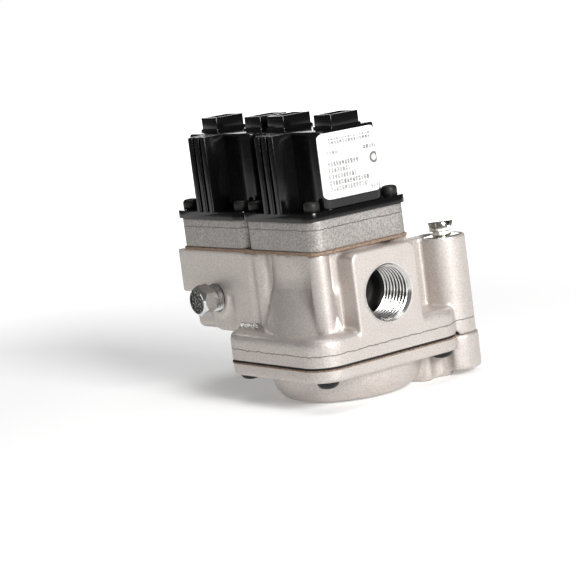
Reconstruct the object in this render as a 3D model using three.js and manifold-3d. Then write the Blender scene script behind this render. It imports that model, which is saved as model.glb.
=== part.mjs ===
// Gas valve with two solenoid operators and a servo pressure regulator.
// Millimetres, +Z up along the solenoids, +X along the gas flow, front at -Y.
// While it is built, z = 0 is the joint under the two riser blocks and x = y = 0 is midway
// between them. At the end the whole group moves so that the origin is the middle of the
// valve's box at its lowest point.
import * as THREE from "three";
import { mergeVertices } from "three/addons/utils/BufferGeometryUtils.js";
import Module from "manifold-3d";

const wasm = await Module();
wasm.setup();

// ---- driving dimensions -------------------------------------------------------------
const fit = 0.05; // clearance between stacked flat faces
const gap = 0.3; // clearance round pieces that sit in a bore or a pocket

const block = { width: 44.8, depth: 45.7, height: 11.8, corner: 5, spacing: 45.4 };
const gasketThickness = 1.2;
const coilPlate = { width: 45.2, depth: 48.5, thickness: 3.1, corner: 5 };
const coil = { width: 42, depth: 29.5, top: 44.2, corner: 4.5, wall: 2.5 };
const ribs = { width: 11.5, groove: 1.5, depth: 1.4, back: -13 };
const shroud = { width: 10.6, depth: 13.4, height: 5.4, wall: 1.3, offset: 15.1 };
const blade = { width: 6.35, thickness: 0.8, height: 4.6 };
const coilScrew = { x: 17.9, y: 18.7, head: 3.1, headHeight: 3.8, shank: 1.9 };

const pipe = { mouth: 11.1, thread: 10.55, threadLength: 15, bore: 8.7, y: 4.35, z: -19.7 };
const boss = { width: 31, top: -2.4, bottom: -36.7, corner: 3 };
const outletFace = 51.1;
const inletFace = -58.1;
const flange = { x: 18.5, y: 4.35, width: 65.2, depth: 71, corner: 10.5, top: -31.5, bottom: -42.3 };
const diaphragmThickness = 0.9;
const coverGasketThickness = 0.5;
const cover = { flange: 4.6, bottom: -60, radius: 30.2, wall: 3 };
const coverScrew = { x: 25, y: 27.9, head: 4.3, headHeight: 3, shank: 2.1 };
const tower = { x: 38.9, y: 43.15, radius: 9, top: -5.2, bore: 6.2, recess: 7.9, floor: -41 };
const tap = { x: -25.1, z: -20, thread: 5.15, hexFlats: 11.1, hexHeight: 5.5, neck: 4 };

const column = { radius: 22.2, screwRadius: 4 }; // cast columns under the solenoids
const gasWay = { radius: 4, front: -15.2, back: -11.3 }; // ports between body and risers
const bleed = { upright: 1.2, level: 0.9 }; // way from the tower to the diaphragm
const tapPilotRadius = 1.5;

const seatTop = 2.4; // height of each solenoid valve's seat in its riser block
const seatRadius = 5;
const chamberRadius = 10.5;
const plunger = { radius: 4.8, bottom: 4.7, height: 19 };
const tube = { inner: 5, outer: 5.7, flange: 12, top: 38.5 };
const plungerTravel = 2.5; // up to the fixed core

const magnet = { half: 18, depth: 9, strip: 1.6 }; // U of steel strip round the winding
const bobbin = { hub: 7.6, flange: 12, rim: 1.4 };

const mainSeat = -30.5; // top of the main valve's seat
const mainOrifice = 6.5;

const frontFace = -block.depth / 2;
const coverTop = flange.bottom - diaphragmThickness - coverGasketThickness - 3 * fit;
const coverFlangeBottom = coverTop - cover.flange;

// ---- shape tools --------------------------------------------------------------------
function solid(geometry) {
  const bare = geometry.clone();
  bare.deleteAttribute("normal");
  bare.deleteAttribute("uv");
  const merged = mergeVertices(bare, 1e-4);
  const mesh = { numProp: 3, vertProperties: merged.attributes.position.array };
  mesh.triVerts = new Uint32Array(merged.index.array);
  return new wasm.Manifold(new wasm.Mesh(mesh));
}

function join(...solids) {
  return solids.reduce((whole, next) => whole.add(next));
}

function cut(whole, ...tools) {
  return tools.reduce((left, tool) => left.subtract(tool), whole);
}

function box(x0, x1, y0, y1, z0, z1) {
  const geometry = new THREE.BoxGeometry(x1 - x0, y1 - y0, z1 - z0);
  geometry.translate((x0 + x1) / 2, (y0 + y1) / 2, (z0 + z1) / 2);
  return solid(geometry);
}

// A rectangle with rounded corners, centred on (x, y).
function roundedOutline(width, depth, radius, x = 0, y = 0) {
  const [w, d] = [width / 2, depth / 2];
  const outline = new THREE.Shape();
  outline.absarc(x + w - radius, y - d + radius, radius, -Math.PI / 2, 0);
  outline.absarc(x + w - radius, y + d - radius, radius, 0, Math.PI / 2);
  outline.absarc(x - w + radius, y + d - radius, radius, Math.PI / 2, Math.PI);
  outline.absarc(x - w + radius, y - d + radius, radius, Math.PI, Math.PI * 1.5);
  outline.closePath();
  return outline;
}

function upright(outline, z0, z1, curveSegments = 3) {
  const options = { depth: z1 - z0, bevelEnabled: false, curveSegments };
  return solid(new THREE.ExtrudeGeometry(outline, options).translate(0, 0, z0));
}

// A block given by its sides, with rounded upright edges.
function softOutlineBlock(x0, x1, y0, y1, z0, z1, radius) {
  const outline = roundedOutline(x1 - x0, y1 - y0, radius, (x0 + x1) / 2, (y0 + y1) / 2);
  return upright(outline, z0, z1);
}

// A rounded block whose top edge is rounded by `edge` as well.
function softBlock(width, depth, radius, x, y, z0, z1, edge, steps = 2) {
  const inner = roundedOutline(width - 2 * edge, depth - 2 * edge, radius - edge, x, y);
  const options = { depth: z1 - z0, bevelThickness: edge, bevelSize: edge };
  options.bevelSegments = steps;
  options.curveSegments = 3;
  const geometry = new THREE.ExtrudeGeometry(inner, options).translate(0, 0, z0 - edge);
  const reach = Math.max(width, depth);
  const keep = box(x - reach, x + reach, y - reach, y + reach, z0, z1 + 1);
  return solid(geometry).intersect(keep);
}

function cylinder(radius, z0, z1, x = 0, y = 0, segments = 20) {
  const geometry = new THREE.CylinderGeometry(radius, radius, z1 - z0, segments);
  geometry.rotateX(Math.PI / 2).translate(x, y, (z0 + z1) / 2);
  return solid(geometry);
}

// A solid turned about a vertical axis from (radius, height) points that start and end on it.
function turned(points, x = 0, y = 0, segments = 20) {
  const profile = points.map(([radius, height]) => new THREE.Vector2(radius, height));
  const geometry = new THREE.LatheGeometry(profile, segments);
  geometry.rotateX(Math.PI / 2).translate(x, y, 0);
  return solid(geometry);
}

// Lays a solid that was made along +Z so that it points along +X, -X or -Y from a place.
function lay(whole, direction, x, y, z) {
  const turns = { "+x": [0, 90, 0], "-x": [0, -90, 0], "-y": [90, 0, 0] };
  return whole.rotate(turns[direction]).translate([x, y, z]);
}

function hexagon(flats, z0, z1, x = 0, y = 0) {
  const prism = cylinder(flats / Math.sqrt(3), z0, z1, x, y, 6);
  const [middle, reach] = [(z0 + z1) / 2, flats / 2 + 0.75];
  const dome = turned([[0, z0 - 1], [reach, z0 - 1], [reach, middle], [reach - 1.6, z1], [0, z1]],
    x, y, 24);
  return prism.intersect(dome);
}

function ring(inner, outer, z0, z1, x = 0, y = 0, segments = 20) {
  return cut(cylinder(outer, z0, z1, x, y, segments),
    cylinder(inner, z0 - 1, z1 + 1, x, y, segments));
}

// A compression spring of round wire standing between two heights.
function spring(radius, wire, turns, z0, z1, x, y) {
  class Helix extends THREE.Curve {
    getPoint(t, point = new THREE.Vector3()) {
      const angle = t * turns * 2 * Math.PI;
      const height = z0 + wire / 2 + t * (z1 - z0 - wire);
      return point.set(x + radius * Math.cos(angle), y + radius * Math.sin(angle), height);
    }
  }
  const section = new THREE.Shape();
  section.absarc(0, 0, wire / 2, 0, 2 * Math.PI);
  const options = { steps: Math.round(turns * 8), extrudePath: new Helix(), curveSegments: 2.5 };
  return solid(new THREE.ExtrudeGeometry(section, options));
}

// ---- materials ----------------------------------------------------------------------
function finish(color, metalness, roughness) {
  return new THREE.MeshStandardMaterial({ color, metalness, roughness });
}
const castAluminium = finish(0xc9c6c1, 0.6, 0.5);
const riserAluminium = finish(0xaeadab, 0.6, 0.55);
const blackNylon = finish(0x17171a, 0, 0.3);
const fibre = finish(0xa5835f, 0, 0.9);
const blackRubber = finish(0x1a1a1a, 0, 0.85);
const zinc = finish(0xc4c8cc, 0.9, 0.3);
const nickel = finish(0xd8d6d0, 1, 0.2);
const brass = finish(0xb58a3c, 1, 0.35);
const steel = finish(0x9a9da0, 1, 0.4);
const blackSteel = finish(0x1c1c1e, 0.7, 0.45);
const copper = finish(0xb4633a, 1, 0.35);
const whiteNylon = finish(0xe6e2d6, 0, 0.5);
const labelPaper = finish(0xf6f6f4, 0, 0.5);

const valve = new THREE.Group();

function addNode(name, whole, material) {
  const mesh = whole.getMesh();
  const geometry = new THREE.BufferGeometry();
  geometry.setAttribute("position", new THREE.BufferAttribute(mesh.vertProperties, 3));
  geometry.setIndex(new THREE.BufferAttribute(mesh.triVerts, 1));
  const piece = new THREE.Mesh(geometry, material);
  piece.name = name;
  valve.add(piece);
}

// ---- valve body ---------------------------------------------------------------------
const bodyTop = -gasketThickness;

// The outline shared by the body's bottom flange, the diaphragm, its gasket and the cover.
const joint = (grow) => roundedOutline(flange.width + grow, flange.depth + grow,
  flange.corner, flange.x, flange.y);

// A pipe boss is a square block round a pipe thread, its long edges rounded.
function pipeBoss(x0, x1) {
  const height = boss.top - boss.bottom;
  const outline = roundedOutline(height, boss.width, boss.corner);
  const along = upright(outline, 0, x1 - x0, 4);
  return lay(along, "+x", x0, pipe.y, (boss.top + boss.bottom) / 2);
}

// A pipe port is a chamfered mouth, the taper that holds the pipe thread, then a plain bore.
function pipeBore(depth) {
  const end = -pipe.threadLength;
  const taper = pipe.threadLength / 32;
  return turned([[0, -depth], [pipe.bore, -depth], [pipe.bore, end - 1],
    [pipe.thread - taper, end], [pipe.thread, -0.9], [pipe.mouth, 0], [pipe.mouth + 1, 1],
    [0, 1]], 0, 0, 36);
}

// The body under each solenoid is a round column as wide as its riser block. The one over
// the diaphragm flares out into the bottom flange.
const seatColumn = cylinder(column.radius, flange.top - 2, bodyTop, -block.spacing / 2, 0, 44);
const flaredColumn = turned([[0, flange.top - 2], [29.6, flange.top - 2], [28.8, flange.top],
  [27.6, -28], [26, -24], [24, -18.5], [22.8, -14.5], [22.3, -11], [column.radius, bodyTop],
  [0, bodyTop]], block.spacing / 2, 0, 44).intersect(upright(joint(0), flange.bottom, 0));

const blockX = block.spacing / 2;
const screwColumn = (x, y) => cylinder(column.screwRadius, -33, bodyTop, x, y, 20);
const plugBoss = lay(cylinder(8, 0, 12, 0, 0, 24), "-y", tap.x, frontFace + 12, tap.z);
const leftFront = join(
  softOutlineBlock(-48.9, -30, frontFace, -5, -18.6, bodyTop, 1.2),
  softOutlineBlock(-40, 2.7, frontFace, -5, -18.6, bodyTop, 4.4),
  softOutlineBlock(-16.5, 2.7, frontFace, -5, -30.5, bodyTop, 4.4),
  plugBoss,
);

const core = join(
  softOutlineBlock(-45.1, 36, -12, 21, -36.7, bodyTop, 4),
  softOutlineBlock(-45.1, 45.1, 14, 22.8, -33, bodyTop, 4),
);
const flangeBlock = softBlock(flange.width, flange.depth, flange.corner, flange.x, flange.y,
  flange.bottom, flange.top, 3, 3);
const towerBody = join(
  cylinder(tower.radius, flange.bottom, tower.top, tower.x, tower.y, 36),
  // outside the diaphragm the tower reaches down to the cover
  cut(cylinder(tower.radius, coverTop + fit, flange.bottom + 1, tower.x, tower.y, 36),
    upright(joint(2), coverTop - 1, flange.bottom)),
  softOutlineBlock(29.5, 36.5, 15, tower.y + 2, flange.bottom, -4.6, 3),
);

const corners = [[-1, -1], [1, -1], [1, 1], [-1, 1]];
const coilScrewPlaces = [-blockX, blockX].flatMap((x) =>
  corners.map(([i, j]) => [x + i * coilScrew.x, j * coilScrew.y]));
const coverScrewPlaces = corners.map(([i, j]) =>
  [flange.x + i * coverScrew.x, flange.y + j * coverScrew.y]);

let body = join(
  core, leftFront, flangeBlock, towerBody, seatColumn, flaredColumn,
  ...coilScrewPlaces.filter(([x, y]) => x > 0 || y > 0).map(([x, y]) => screwColumn(x, y)),
  pipeBoss(inletFace, -20), pipeBoss(20, outletFace),
);

const upperChamber = { radius: 9, top: -9 };
body = cut(body,
  lay(pipeBore(36), "+x", outletFace, pipe.y, pipe.z).intersect(
    box(30, 60, -30, 30, -60, 10)),
  lay(pipeBore(40), "-x", inletFace, pipe.y, pipe.z),
  // inlet gas rises to the first seat, crosses to the second and drops to the main valve
  cylinder(gasWay.radius, -16, 0, -blockX, 0),
  box(-10, 10, gasWay.front - gap, gasWay.back + gap, -7, 0),
  cylinder(gasWay.radius, -16, 0, blockX, 0),
  cylinder(upperChamber.radius, mainSeat, upperChamber.top, flange.x, pipe.y, 28),
  cylinder(mainOrifice, -40, -20, flange.x, pipe.y),
  // chamber over the diaphragm, open to the outlet port through an upright slot
  turned([[0, flange.bottom - 1], [26, flange.bottom - 1], [26, flange.bottom + 1.5],
    [22, mainSeat - 5], [9, mainSeat - 2.5], [0, mainSeat - 2.5]], flange.x, flange.y, 28),
  softOutlineBlock(30, 37, pipe.y - 6, pipe.y + 6, -40, pipe.z, 2.5),
  // servo bore in the tower, threaded for its cap, with a bleed way down to the cover
  cylinder(tower.bore, tower.floor, tower.top + 1, tower.x, tower.y),
  cylinder(tower.recess, tower.top - 1.5, tower.top + 1, tower.x, tower.y, 32),
  cylinder(bleed.upright, coverTop - 1, tower.floor + 1, tower.x, tower.y, 12),
  // pressure tap on the inlet side
  lay(cylinder(tap.thread + gap, -12, 1, 0, 0, 24), "-y", tap.x, frontFace, tap.z),
  lay(cylinder(tapPilotRadius, -20, -11, 0, 0, 12), "-y", tap.x, frontFace, tap.z),
  ...coilScrewPlaces.map(([x, y]) => cylinder(coilScrew.shank + gap, -9, 0, x, y, 8)),
  ...coverScrewPlaces.map(([x, y]) =>
    cylinder(coverScrew.shank + gap, flange.bottom - 1, flange.bottom + 8, x, y, 8)),
);
addNode("valve_body", body, castAluminium);

// ---- gaskets, diaphragm and lower cover -----------------------------------------------
const bothBlocks = block.spacing + block.width;
let riserGasket = upright(roundedOutline(bothBlocks + 1, block.depth + 1, block.corner),
  -gasketThickness + fit, -fit);
riserGasket = cut(riserGasket,
  cylinder(4.4, -2, 1, -blockX, 0), cylinder(4.4, -2, 1, blockX, 0),
  box(-9, -5, gasWay.front, gasWay.back, -2, 1), box(5, 9, gasWay.front, gasWay.back, -2, 1),
  ...coilScrewPlaces.map(([x, y]) => cylinder(coilScrew.shank + gap, -2, 1, x, y, 8)));
addNode("riser_gasket", riserGasket, fibre);

const boltHoles = (radius, z0, z1, segments = 8) =>
  coverScrewPlaces.map(([x, y]) => cylinder(radius, z0, z1, x, y, segments));

// The diaphragm is a flat rubber sheet with one round convolution and a clamped middle.
const sheetTop = flange.bottom - fit;
const sheetBottom = sheetTop - diaphragmThickness;
const convolution = (lift) => turned(
  [[0, sheetBottom - 1], [25.5, sheetBottom - 1], [25.5, sheetBottom + lift],
    [23.5, sheetBottom + 1.2 + lift], [20.5, sheetBottom + 1.2 + lift],
    [18.5, sheetBottom + lift], [0, sheetBottom + lift]], flange.x, flange.y, 28);
const clamp = { inner: 2.6, radius: 16 };
const diaphragm = cut(
  join(upright(joint(-0.6), sheetBottom, sheetTop),
    convolution(diaphragmThickness).intersect(
      box(-60, 80, -60, 80, sheetBottom, sheetTop + 5))),
  convolution(0).intersect(box(-60, 80, -60, 80, sheetBottom - 2, sheetTop + 5)),
  cylinder(clamp.inner, sheetBottom - 2, sheetTop + 2, flange.x, flange.y, 20),
  ...boltHoles(coverScrew.shank + gap, sheetBottom - 1, sheetTop + 1),
);
addNode("main_diaphragm", diaphragm, blackRubber);

const coverGasketTop = sheetBottom - fit;
const coverGasket = cut(
  upright(joint(0.4), coverGasketTop - coverGasketThickness, coverGasketTop),
  cylinder(26, coverTop - 3, coverTop + 3, flange.x, flange.y, 28),
  ...boltHoles(coverScrew.shank + gap, coverTop - 3, coverTop + 3),
);
addNode("cover_gasket", coverGasket, fibre);

function dish(shrink) {
  const [wide, low] = [cover.radius - shrink, cover.bottom + shrink];
  return turned([[0, low], [wide - 8.4, low], [wide - 4.8, low + 1.2],
    [wide - 2.3, cover.bottom + 4.2], [wide - 1, cover.bottom + 8], [wide, coverTop - 1],
    [wide, coverTop], [0, coverTop]], flange.x, flange.y, 40);
}
const towerFoot = { radius: tower.radius + 0.7, bottom: cover.bottom + 2.2 };
let lowerCover = join(
  upright(joint(0), coverFlangeBottom, coverTop),
  dish(0),
  cylinder(towerFoot.radius, towerFoot.bottom, coverTop, tower.x, tower.y, 40),
  softOutlineBlock(27.5, 41, 24, 42, cover.bottom, coverTop, 5),
);
lowerCover = cut(lowerCover,
  dish(cover.wall).intersect(box(-60, 80, -60, 80, cover.bottom + cover.wall, coverTop - 0.5)),
  cylinder(cover.radius - cover.wall, coverTop - 1, coverTop + 1, flange.x, flange.y, 40),
  // bleed way from the tower to the space under the diaphragm
  cylinder(bleed.upright, coverTop - 2.6, coverTop + 1, tower.x, tower.y, 12),
  lay(cylinder(bleed.level, -0.5, 22, 0, 0, 8), "-y", tower.x, tower.y, coverTop - 2.1),
  // screw pockets: the heads hang below the flange
  ...boltHoles(coverScrew.head + gap, cover.bottom - 1, coverFlangeBottom - 0.001, 12),
  ...boltHoles(coverScrew.shank + gap, cover.bottom - 1, coverTop + 1),
);
addNode("lower_cover", lowerCover, castAluminium);

coverScrewPlaces.forEach(([x, y], index) => {
  const under = coverFlangeBottom - fit;
  const screw = join(
    turned([[0, under - coverScrew.headHeight], [1.6, under - coverScrew.headHeight],
      [3.2, under - coverScrew.headHeight + 0.5], [4, under - 1.4], [coverScrew.head, under - 0.3],
      [coverScrew.head, under], [0, under]], x, y, 18),
    cylinder(coverScrew.shank, under - 0.1, flange.bottom + 7, x, y, 8),
  );
  const slot = box(x - 0.5, x + 0.5, y - 2.6, y + 2.6, under - 4, under - 1.9);
  addNode(`cover_screw_${index + 1}`, cut(screw, slot), blackSteel);
});

// ---- main valve over the diaphragm ----------------------------------------------------
const main = { x: flange.x, y: flange.y };
const discBottom = mainSeat + fit;
const discHolder = join(
  cylinder(7.6, discBottom + 2, discBottom + 3.6, main.x, main.y),
  cylinder(3, discBottom + 3.5, discBottom + 5, main.x, main.y, 20),
);
addNode("main_valve_disc_holder", discHolder, steel);
addNode("main_valve_disc", cut(
  cylinder(8, discBottom, discBottom + 2 - fit, main.x, main.y),
  cylinder(2.3, discBottom - 1, discBottom + 3, main.x, main.y, 20)), blackRubber);
const plateTop = sheetTop + 1.7;
addNode("main_valve_stem", join(
  cylinder(2, sheetBottom - 3.4, discBottom + 2 - fit, main.x, main.y, 20),
  cylinder(3.4, sheetBottom - 4, sheetBottom - 1.9, main.x, main.y, 6),
), steel);
const plateHole = 2.2;
addNode("diaphragm_plate_upper", ring(plateHole, clamp.radius, sheetTop + fit, plateTop,
  main.x, main.y, 24), castAluminium);
addNode("diaphragm_plate_lower", ring(plateHole, clamp.radius, sheetBottom - 1.7,
  sheetBottom - fit, main.x, main.y, 24), castAluminium);
addNode("main_valve_spring", spring(5, 0.9, 3.5, discBottom + 3.7, upperChamber.top - 0.1,
  main.x, main.y), steel);

// ---- riser blocks and solenoid operators -----------------------------------------------
function riserBlock(x) {
  const outline = roundedOutline(block.width, block.depth, block.corner, x, 0);
  const transfer = x < 0 ? -7 : 7;
  const seat = turned([[0, 0], [seatRadius + 2, 0], [seatRadius + 1, seatTop - 0.6],
    [seatRadius + 0.4, seatTop], [0, seatTop]], x, 0);
  return cut(
    join(
      cut(upright(outline, 0, block.height - fit), cylinder(chamberRadius, 1.5, 20, x, 0, 28)),
      seat),
    cylinder(gasWay.radius, -1, 5, x, 0),
    box(transfer - 2, transfer + 2, gasWay.front, gasWay.back, -1, 3),
    box(Math.min(transfer, x * 0.7), Math.max(transfer, x * 0.7), gasWay.front, -5.5, 1.5, 6),
    ...corners.map(([i, j]) =>
      cylinder(coilScrew.shank + gap, -1, 20, x + i * coilScrew.x, j * coilScrew.y, 8)));
}

function coilHousing(x) {
  const plateTopZ = block.height + coilPlate.thickness;
  const front = -coilPlate.depth / 2;
  const plate = upright(
    roundedOutline(coilPlate.width, coilPlate.depth, coilPlate.corner, x, 0),
    block.height, plateTopZ);
  const shell = softBlock(coil.width, coil.depth, coil.corner, x, 0,
    block.height + 1, coil.top, 1);
  const ribBlock = softBlock(ribs.width, ribs.back - front, 0.9, x, (front + ribs.back) / 2,
    block.height, coil.top, 0.8, 2);
  const grooves = [-1, 1].map((side) => {
    const middle = x + side * ribs.width / 5;
    return box(middle - ribs.groove / 2, middle + ribs.groove / 2, front - 1,
      front + ribs.depth, block.height - 1, coil.top + 1);
  });
  const collars = [-1, 1].map((side) => {
    const middle = x + side * shroud.offset;
    const [w, d] = [shroud.width / 2, shroud.depth / 2];
    const skirt = box(middle - w - 0.5, middle + w + 0.5, -d - 0.5, d + 0.5,
      coil.top - 1, coil.top + 1);
    return join(skirt, box(middle - w, middle + w, -d, d, coil.top - 1, coil.top + shroud.height));
  });
  const wells = [-1, 1].map((side) => {
    const middle = x + side * shroud.offset;
    const [w, d] = [shroud.width / 2 - shroud.wall, shroud.depth / 2 - shroud.wall];
    return box(middle - w, middle + w, -d, d, coil.top + 0.6, coil.top + shroud.height + 1);
  });
  const bladeSlots = [-1, 1].map((side) => {
    const middle = x + side * shroud.offset;
    return box(middle - blade.thickness / 2 - gap, middle + blade.thickness / 2 + gap,
      -blade.width / 2 - gap, blade.width / 2 + gap, coil.top - coil.wall - 1, coil.top + 2);
  });
  const hollow = upright(
    roundedOutline(coil.width - 2 * coil.wall, coil.depth - 2 * coil.wall, 2, x, 0),
    block.height - 1, coil.top - coil.wall, 3);
  return cut(join(cut(join(shell, ribBlock), ...grooves), plate, ...collars),
    hollow, ...wells, ...bladeSlots,
    ...corners.map(([i, j]) =>
      cylinder(coilScrew.shank + gap, 0, 20, x + i * coilScrew.x, j * coilScrew.y, 8)));
}

[["left", -blockX], ["right", blockX]].forEach(([side, x]) => {
  addNode(`${side}_riser_block`, riserBlock(x), riserAluminium);
  addNode(`${side}_coil_housing`, coilHousing(x), blackNylon);

  // Magnet frame: a U of steel strip with its open end down on the core tube's flange.
  const frameTop = coil.top - coil.wall - 1;
  addNode(`${side}_magnet_frame`, cut(
    box(x - magnet.half, x + magnet.half, -magnet.depth, magnet.depth,
      block.height + magnet.strip, frameTop),
    box(x - magnet.half + magnet.strip, x + magnet.half - magnet.strip, -magnet.depth - 1,
      magnet.depth + 1, block.height + 2 * magnet.strip, frameTop - magnet.strip),
    cylinder(tube.outer + gap, 0, frameTop + 5, x, 0)), steel);

  // Bobbin of nylon with a flange at each end, carrying the winding.
  const [bobbinLow, bobbinHigh] = [block.height + 3.4, frameTop - 1.8];
  addNode(`${side}_bobbin`, cut(
    join(cylinder(bobbin.hub, bobbinLow, bobbinHigh, x, 0),
      cylinder(bobbin.flange, bobbinLow, bobbinLow + bobbin.rim, x, 0),
      cylinder(bobbin.flange, bobbinHigh - bobbin.rim, bobbinHigh, x, 0)),
    cylinder(tube.outer + gap, 0, 60, x, 0)), whiteNylon);
  addNode(`${side}_winding`, ring(bobbin.hub + gap, bobbin.flange - 0.5, bobbinLow + 1.6,
    bobbinHigh - 1.6, x, 0), copper);

  // Core tube: a drawn steel tube closed at the top by its fixed core, on a sealing flange.
  const plungerTop = plunger.bottom + plunger.height;
  const coreBottom = plungerTop + plungerTravel + 0.1;
  addNode(`${side}_core_tube`, cut(
    join(cylinder(tube.flange, block.height, block.height + 1.4, x, 0, 28),
      cylinder(tube.outer, block.height, tube.top, x, 0)),
    cylinder(tube.inner, block.height - 1, coreBottom, x, 0)), steel);

  // Plunger with its rubber disc; it drops on the seat and lifts by the solenoid's pull.
  addNode(`${side}_plunger`, cut(
    join(cylinder(plunger.radius, plunger.bottom + fit, plungerTop, x, 0),
      cylinder(6.2, plunger.bottom + fit, plunger.bottom + 1.3, x, 0)),
    cylinder(2.4, plungerTop - 5, plungerTop + 1, x, 0, 20)), steel);
  addNode(`${side}_valve_disc`, cylinder(6, seatTop + 0.1, plunger.bottom, x, 0), blackRubber);
  addNode(`${side}_plunger_spring`, spring(1.8, 0.6, 4, plungerTop - 4.9, coreBottom - 0.1, x, 0),
    steel);

  [-1, 1].forEach((end, index) => {
    const middle = x + end * shroud.offset;
    const tip = coil.top + blade.height;
    const half = blade.width / 2;
    const outline = new THREE.Shape([
      new THREE.Vector2(-half, coil.top - coil.wall - 0.7), new THREE.Vector2(half,
        coil.top - coil.wall - 0.7), new THREE.Vector2(half, tip - 1.2),
      new THREE.Vector2(half - 1.2, tip), new THREE.Vector2(-half + 1.2, tip),
      new THREE.Vector2(-half, tip - 1.2)]);
    const flat = new THREE.ExtrudeGeometry(outline,
      { depth: blade.thickness, bevelEnabled: false });
    flat.rotateX(Math.PI / 2).rotateZ(Math.PI / 2);
    flat.translate(middle - blade.thickness / 2, 0, 0);
    const hole = lay(cylinder(0.8, -2, 2, 0, 0, 12), "+x", middle, 0, tip - 2.6);
    addNode(`${side}_terminal_${index + 1}`, cut(solid(flat), hole), brass);
  });

  corners.forEach(([i, j], index) => {
    const [sx, sy] = [x + i * coilScrew.x, j * coilScrew.y];
    const seatZ = block.height + coilPlate.thickness + fit;
    const top = seatZ + coilScrew.headHeight;
    const screw = join(
      turned([[0, seatZ], [coilScrew.head, seatZ], [coilScrew.head, top - 0.6],
        [coilScrew.head - 0.5, top], [0, top]], sx, sy, 16),
      cylinder(coilScrew.shank, -8, seatZ + 0.1, sx, sy, 10));
    addNode(`${side}_coil_screw_${index + 1}`,
      cut(screw, cylinder(1.5, top - 2, top + 1, sx, sy, 6)), blackSteel);
  });
});

// ---- servo regulator in the tower -------------------------------------------------------
const towerAt = [tower.x, tower.y];
const poppetFloor = tower.floor + fit;
const seatButton = { low: -15, high: -13.6 };
addNode("servo_poppet", turned([[0, poppetFloor], [3.2, poppetFloor], [4.6, poppetFloor + 1.2],
  [5.6, poppetFloor + 1.2], [5.6, poppetFloor + 2.6], [2, poppetFloor + 2.6],
  [2, poppetFloor + 4.6], [0, poppetFloor + 4.6]], ...towerAt, 24), brass);
addNode("servo_spring", spring(4.1, 0.8, 7, poppetFloor + 2.7, seatButton.low - 0.1, ...towerAt),
  steel);
addNode("spring_button", turned([[0, seatButton.low - 2.6], [2.4, seatButton.low - 2.6],
  [2.4, seatButton.low], [5.4, seatButton.low], [5.4, seatButton.high], [0, seatButton.high]],
...towerAt, 24), brass);
addNode("adjusting_screw", cut(
  cylinder(5.9, seatButton.high + fit, seatButton.high + 3.4, ...towerAt, 28),
  box(tower.x - 0.7, tower.x + 0.7, tower.y - 4.6, tower.y + 4.6,
    seatButton.high + 1.9, seatButton.high + 5)), brass);

const cap = { low: -9.8, thread: 5.9, shoulder: 7.1, neck: 3.5, neckTop: -3.2, head: 4.9,
  headTop: 0.6, slot: 1.2 };
const sealBottom = tower.top - 1.5 + fit;
addNode("cap_seal", ring(6.25, 7.5, sealBottom, sealBottom + 0.8, ...towerAt, 28), blackRubber);
const capShoulder = sealBottom + 0.8 + fit;
addNode("cap_screw", cut(turned([[0, cap.low], [cap.thread, cap.low], [cap.thread, capShoulder],
  [cap.shoulder, capShoulder], [cap.shoulder, capShoulder + 0.5],
  [cap.neck, capShoulder + 0.8], [cap.neck, cap.neckTop],
  [cap.head, cap.neckTop + 0.3], [cap.head, cap.headTop - 0.4], [cap.head - 0.5, cap.headTop],
  [0, cap.headTop]], ...towerAt, 28),
box(tower.x - 6, tower.x + 6, tower.y - cap.slot / 2, tower.y + cap.slot / 2,
  cap.headTop - 1.6, cap.headTop + 1)), nickel);

// ---- pressure tap plug and rating label --------------------------------------------------
const plug = join(
  turned([[0, -9], [tap.thread - 0.6, -9], [tap.thread, -8], [tap.thread, 0],
    [tap.thread - 0.5, tap.neck], [0, tap.neck]], 0, 0, 32),
  hexagon(tap.hexFlats, tap.neck - 0.2, tap.neck + tap.hexHeight),
);
addNode("pressure_tap_plug", lay(plug, "-y", tap.x, frontFace, tap.z), zinc);

const label = { front: -13.7, back: 13.9, low: 18.4, high: 43.2, thickness: 0.3, corner: 2 };
const labelBand = (grow) => upright(roundedOutline(coil.width + 2 * grow, coil.depth + 2 * grow,
  coil.corner + grow, blockX, 0), label.low - 1, label.high + 1);
const labelOutline = roundedOutline(label.high - label.low, label.back - label.front,
  label.corner, 0, (label.front + label.back) / 2);
const labelWindow = lay(upright(labelOutline, 0, 20, 4), "+x", blockX + 10, 0,
  (label.high + label.low) / 2);
addNode("rating_label", cut(labelBand(fit + label.thickness), labelBand(fit)).intersect(
  labelWindow), labelPaper);

// ---- origin at the middle of the box, at the lowest point --------------------------------
const extent = new THREE.Box3().setFromObject(valve);
const middle = extent.getCenter(new THREE.Vector3());
valve.position.set(-middle.x, -middle.y, -extent.min.z);

export default valve;
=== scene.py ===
import math

import bmesh
import bpy
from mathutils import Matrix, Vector


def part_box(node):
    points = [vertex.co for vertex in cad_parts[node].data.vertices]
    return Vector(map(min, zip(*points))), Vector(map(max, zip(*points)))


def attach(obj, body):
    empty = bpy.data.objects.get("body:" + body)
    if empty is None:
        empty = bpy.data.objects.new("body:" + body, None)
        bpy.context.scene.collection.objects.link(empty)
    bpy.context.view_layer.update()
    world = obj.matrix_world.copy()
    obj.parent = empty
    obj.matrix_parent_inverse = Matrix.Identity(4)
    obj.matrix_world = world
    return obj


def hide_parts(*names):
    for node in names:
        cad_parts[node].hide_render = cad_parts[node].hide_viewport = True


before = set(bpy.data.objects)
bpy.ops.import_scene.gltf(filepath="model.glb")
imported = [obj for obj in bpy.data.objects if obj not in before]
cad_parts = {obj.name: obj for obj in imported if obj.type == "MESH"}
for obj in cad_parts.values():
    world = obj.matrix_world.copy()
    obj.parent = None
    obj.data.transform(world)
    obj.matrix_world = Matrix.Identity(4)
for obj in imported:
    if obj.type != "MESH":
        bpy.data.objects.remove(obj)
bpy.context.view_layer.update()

MM = 0.001


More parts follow.
